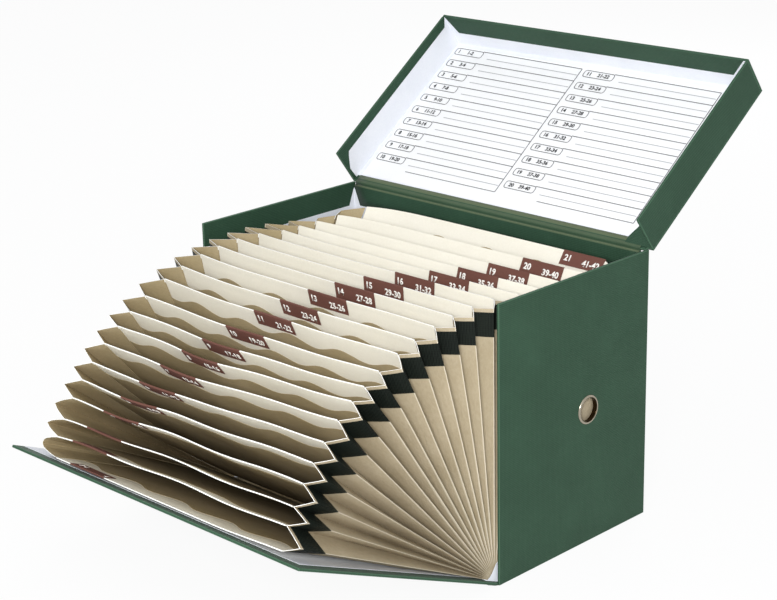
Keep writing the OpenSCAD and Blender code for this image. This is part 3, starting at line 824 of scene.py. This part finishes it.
def make_pleat(k, hand):
    """The pleat between the fold before divider k and the one on it: kraft, with black tape near its top."""
    before, behind = fold(k - 1, hand), fold(k, hand)
    tip_angle = (before[1] + behind[1]) / 2
    tip_top = (before[2] + behind[2]) / 2 - TIP_DROP
    tip_x = FAN_RIGHT + PLEAT_D if hand > 0 else LEFT_TIP_X[k]
    # the right tips of the front pleats are drawn in near their top
    draw_in = DRAW_IN * (1 - smooth_step((k - 7) / 6)) if hand > 0 else 0.0
    # the front pleats grow shallow towards the hinge, the rear ones are pressed flat only at their foot
    fade = 140 - 100 * k / (DIVIDERS - 1)
    columns, last_row, tape_row = PLEAT_COLUMNS, len(PLEAT_ROWS) + 3, len(PLEAT_ROWS)
    spread = math.radians(before[1] - behind[1])
    rounding = 1 + 1.2 * LEFT_ROUNDING.get(k, 0.0) if hand < 0 else 1.0

    def radius(row, top):
        if row < tape_row:
            return PLEAT_ROWS[row]
        return top - (TAPE_W + TAPE_DROP, TAPE_DROP, TAPE_DROP - 1.0, 0.0)[row - tape_row]

    def share_across(column, r):
        """Share of the pleat's width at a column; those beside the tip follow the fold's painted highlight.
        """
        half = min(FOLD_LINE / (r * spread), 0.19)
        return (0.0, 0.1, 0.2, 0.3, 0.5 - half, 0.5, 0.5 + half, 0.7, 0.8, 0.9, 1.0)[column]

    def spot(s, t):
        row = round(t * last_row)
        r = radius(row, tip_top)
        s = share_across(round(s * columns), r)
        near, u = (before, 1 - 2 * s) if s < 0.5 else (behind, 2 * s - 1)
        depth = min(max(r - PRESSED_R, 0) / fade, 1) ** 0.65
        tip = fan_place(tip_x - draw_in * smooth_step((r - 222) / 28), tip_angle, r)
        r = radius(row, near[2])
        valley = fan_place(tip_x + (near[0] - tip_x) * depth, bent_angle(near[4], near[1], r / near[2]), r,
                           first_lift(near[0], r) if near[3] == 1 else 0.0)
        point = tip.lerp(valley, u)
        point.x = tip.x + (valley.x - tip.x) * u ** rounding + hand * 0.4 * depth * math.sin(math.pi * u) * MM
        return point

    bm = sheet(columns, last_row, spot)
    bm.faces.ensure_lookup_table()
    for face in bm.faces[tape_row * columns:(tape_row + 1) * columns]:
        face.material_index = TAPE_OUTSIDE
    for face in bm.faces[(tape_row + 1) * columns:]:
        face.material_index = ABOVE_TAPE_OUTSIDE
    # the middle column, the fold's tip, gets the painted highlight
    highlight = bm.verts.layers.float.new("fold_wear")
    for vert in bm.verts:
        vert[highlight] = 1.0 if vert.index % (columns + 1) == columns // 2 else 0.0
    bm.normal_update()
    if sum(f.normal.x * f.calc_area() for f in bm.faces) * hand < 0:
        bmesh.ops.reverse_faces(bm, faces=bm.faces)
    side = "right" if hand > 0 else "left"
    # outside, inside and cut edge of the gusset, of its tape and of the strip above the tape
    papers = [KRAFT, KRAFT_INSIDE, KRAFT_INSIDE, TAPE, KRAFT_INSIDE, KRAFT_INSIDE, KRAFT, KRAFT_INSIDE,
              CARD_EDGE_HIGHLIGHT]
    pleat = piece("pleat_%s_%02d" % (side, k + 1), bm, papers,
                  hides=["gusset_" + side, "gusset_tapes"])
    # the share of the drop front's turn that each fold's divider makes
    shares = [smooth_step_back(f[3]) for f in (behind, before)]
    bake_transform(pleat)
    thicken(pleat, PLEAT_T, -1.0, back=1, rim=2)


for k in range(DIVIDERS):
    for hand in (1, -1):
        make_pleat(k, hand)

# Tail of the right gusset, from its rear fold to the back wall: it shows through the finger ring
tail_x = card_ends(DIVIDERS - 1)[1] + END_GAP
TAIL_LOW, TAIL_H, TAIL_END_X, TAIL_END_Y = 40, 200, 185.5, 100.3


def on_tail(s, t):
    start = fan_place(tail_x, card_angle(DIVIDERS - 1, tail_x), TAIL_LOW + TAIL_H * t, 1.5)
    end = Vector((TAIL_END_X * MM, TAIL_END_Y * MM, start.z))
    point = start.lerp(end, s)
    point.x = end.x + (start.x - end.x) * (1 - s) ** 3
    return point


bm = sheet(10, 10, on_tail)
thicken(piece("gusset_tail", bm, [KRAFT], "case"), 0.4)

# ---------------------------------------------------------------- studio

# Metres from here on. The floor lies just below the box and is mostly plain white to the camera
FLOOR_HALF, FLOOR_DROP, FLOOR_PLAIN = 6.0, 0.0006, 0.93
WHITE = (1.0, 1.0, 1.0, 1.0)

scene = bpy.context.scene
scene.view_settings.view_transform = "Standard"


def seen_directly(tree):
    """1 for what the camera sees straight, or mirrored, or through glass, and 0 for light that bounces."""
    path = add(tree, "ShaderNodeLightPath").outputs
    direct = math_node(tree, "MAXIMUM", path["Is Camera Ray"], path["Is Glossy Ray"])
    return math_node(tree, "MAXIMUM", direct, path["Is Transmission Ray"])


bm = bmesh.new()
bmesh.ops.create_grid(bm, x_segments=2, y_segments=2, size=FLOOR_HALF)
bmesh.ops.translate(bm, vec=(0, 0, -FLOOR_DROP), verts=bm.verts)
floor_mesh = bpy.data.meshes.new("studio_floor")
bm.to_mesh(floor_mesh)
bm.free()
floor = bpy.data.objects.new("studio_floor", floor_mesh)
scene.collection.objects.link(floor)
floor_paint = bpy.data.materials.new("white_studio_paint")
floor_paint.use_nodes = True
tree = floor_paint.node_tree
tree.nodes.clear()
# matt white paint; to the camera it is mostly plain white, so that only the soft shadow is left of it
share = math_node(tree, "MULTIPLY", seen_directly(tree), FLOOR_PLAIN)
matt = add(tree, "ShaderNodeBsdfDiffuse", {"Color": (0.9, 0.9, 0.9, 1.0)}).outputs[0]
plain = add(tree, "ShaderNodeEmission", {"Color": WHITE, "Strength": 1.0}).outputs[0]
mixed = add(tree, "ShaderNodeMixShader", {0: share, 1: matt, 2: plain}).outputs[0]
add(tree, "ShaderNodeOutputMaterial", {"Surface": mixed})
floor_mesh.materials.append(floor_paint)

world = bpy.data.worlds.new("studio_world")
world.use_nodes = True
scene.world = world
tree = world.node_tree
tree.nodes.clear()
room = add(tree, "ShaderNodeBackground", {"Color": (0.95, 0.97, 1.0, 1.0), "Strength": 0.6}).outputs[0]
white = add(tree, "ShaderNodeBackground", {"Color": WHITE, "Strength": 1.0}).outputs[0]
mixed = add(tree, "ShaderNodeMixShader", {0: seen_directly(tree), 1: room, 2: white}).outputs[0]
add(tree, "ShaderNodeOutputWorld", {"Surface": mixed})


def softbox(name, place, aim, size, watts):
    lamp = bpy.data.lights.new(name, "AREA")
    lamp.shape = "DISK"
    lamp.size = size
    lamp.energy = watts
    box = bpy.data.objects.new(name, lamp)
    box.location = place
    box.rotation_euler = (Vector(aim) - Vector(place)).to_track_quat("-Z", "Y").to_euler()
    scene.collection.objects.link(box)


softbox("front_softbox", (-0.3, -2.0, 1.1), (0, 0, 0.15), 1.3, 5)
softbox("camera_softbox", (1.15, -1.4, 0.88), (0, 0, 0.15), 0.4, 24)
softbox("top_softbox", (0.3, -0.9, 2.1), (0, 0, 0.1), 1.6, 4)
softbox("back_softbox", (-0.9, 2.0, 1.2), (0, 0, 0.15), 1.2, 12)

# Camera, fitted to the photograph's view of the box: its place in millimetres, and its angles
CAMERA_PLACE, AZIMUTH, ELEVATION, ROLL = (1213.9, -1270.2, 776.5), 44.66, 18.24, -1.24
lens = bpy.data.cameras.new("camera")
lens.sensor_width = 36.0
lens.lens = 90.72
lens.clip_end = 30.0
camera = bpy.data.objects.new("camera", lens)
azimuth, elevation, roll = (math.radians(v) for v in (AZIMUTH, ELEVATION, ROLL))
back = Vector((math.sin(azimuth) * math.cos(elevation), -math.cos(azimuth) * math.cos(elevation),
               math.sin(elevation)))
level = Vector((0, 0, 1)).cross(back).normalized()
upright = back.cross(level)
right = math.cos(roll) * level + math.sin(roll) * upright
upward = -math.sin(roll) * level + math.cos(roll) * upright
turn = Matrix((right, upward, back)).transposed().to_4x4()
camera.matrix_world = Matrix.Translation(Vector(CAMERA_PLACE) * MM) @ turn
scene.collection.objects.link(camera)
scene.camera = camera
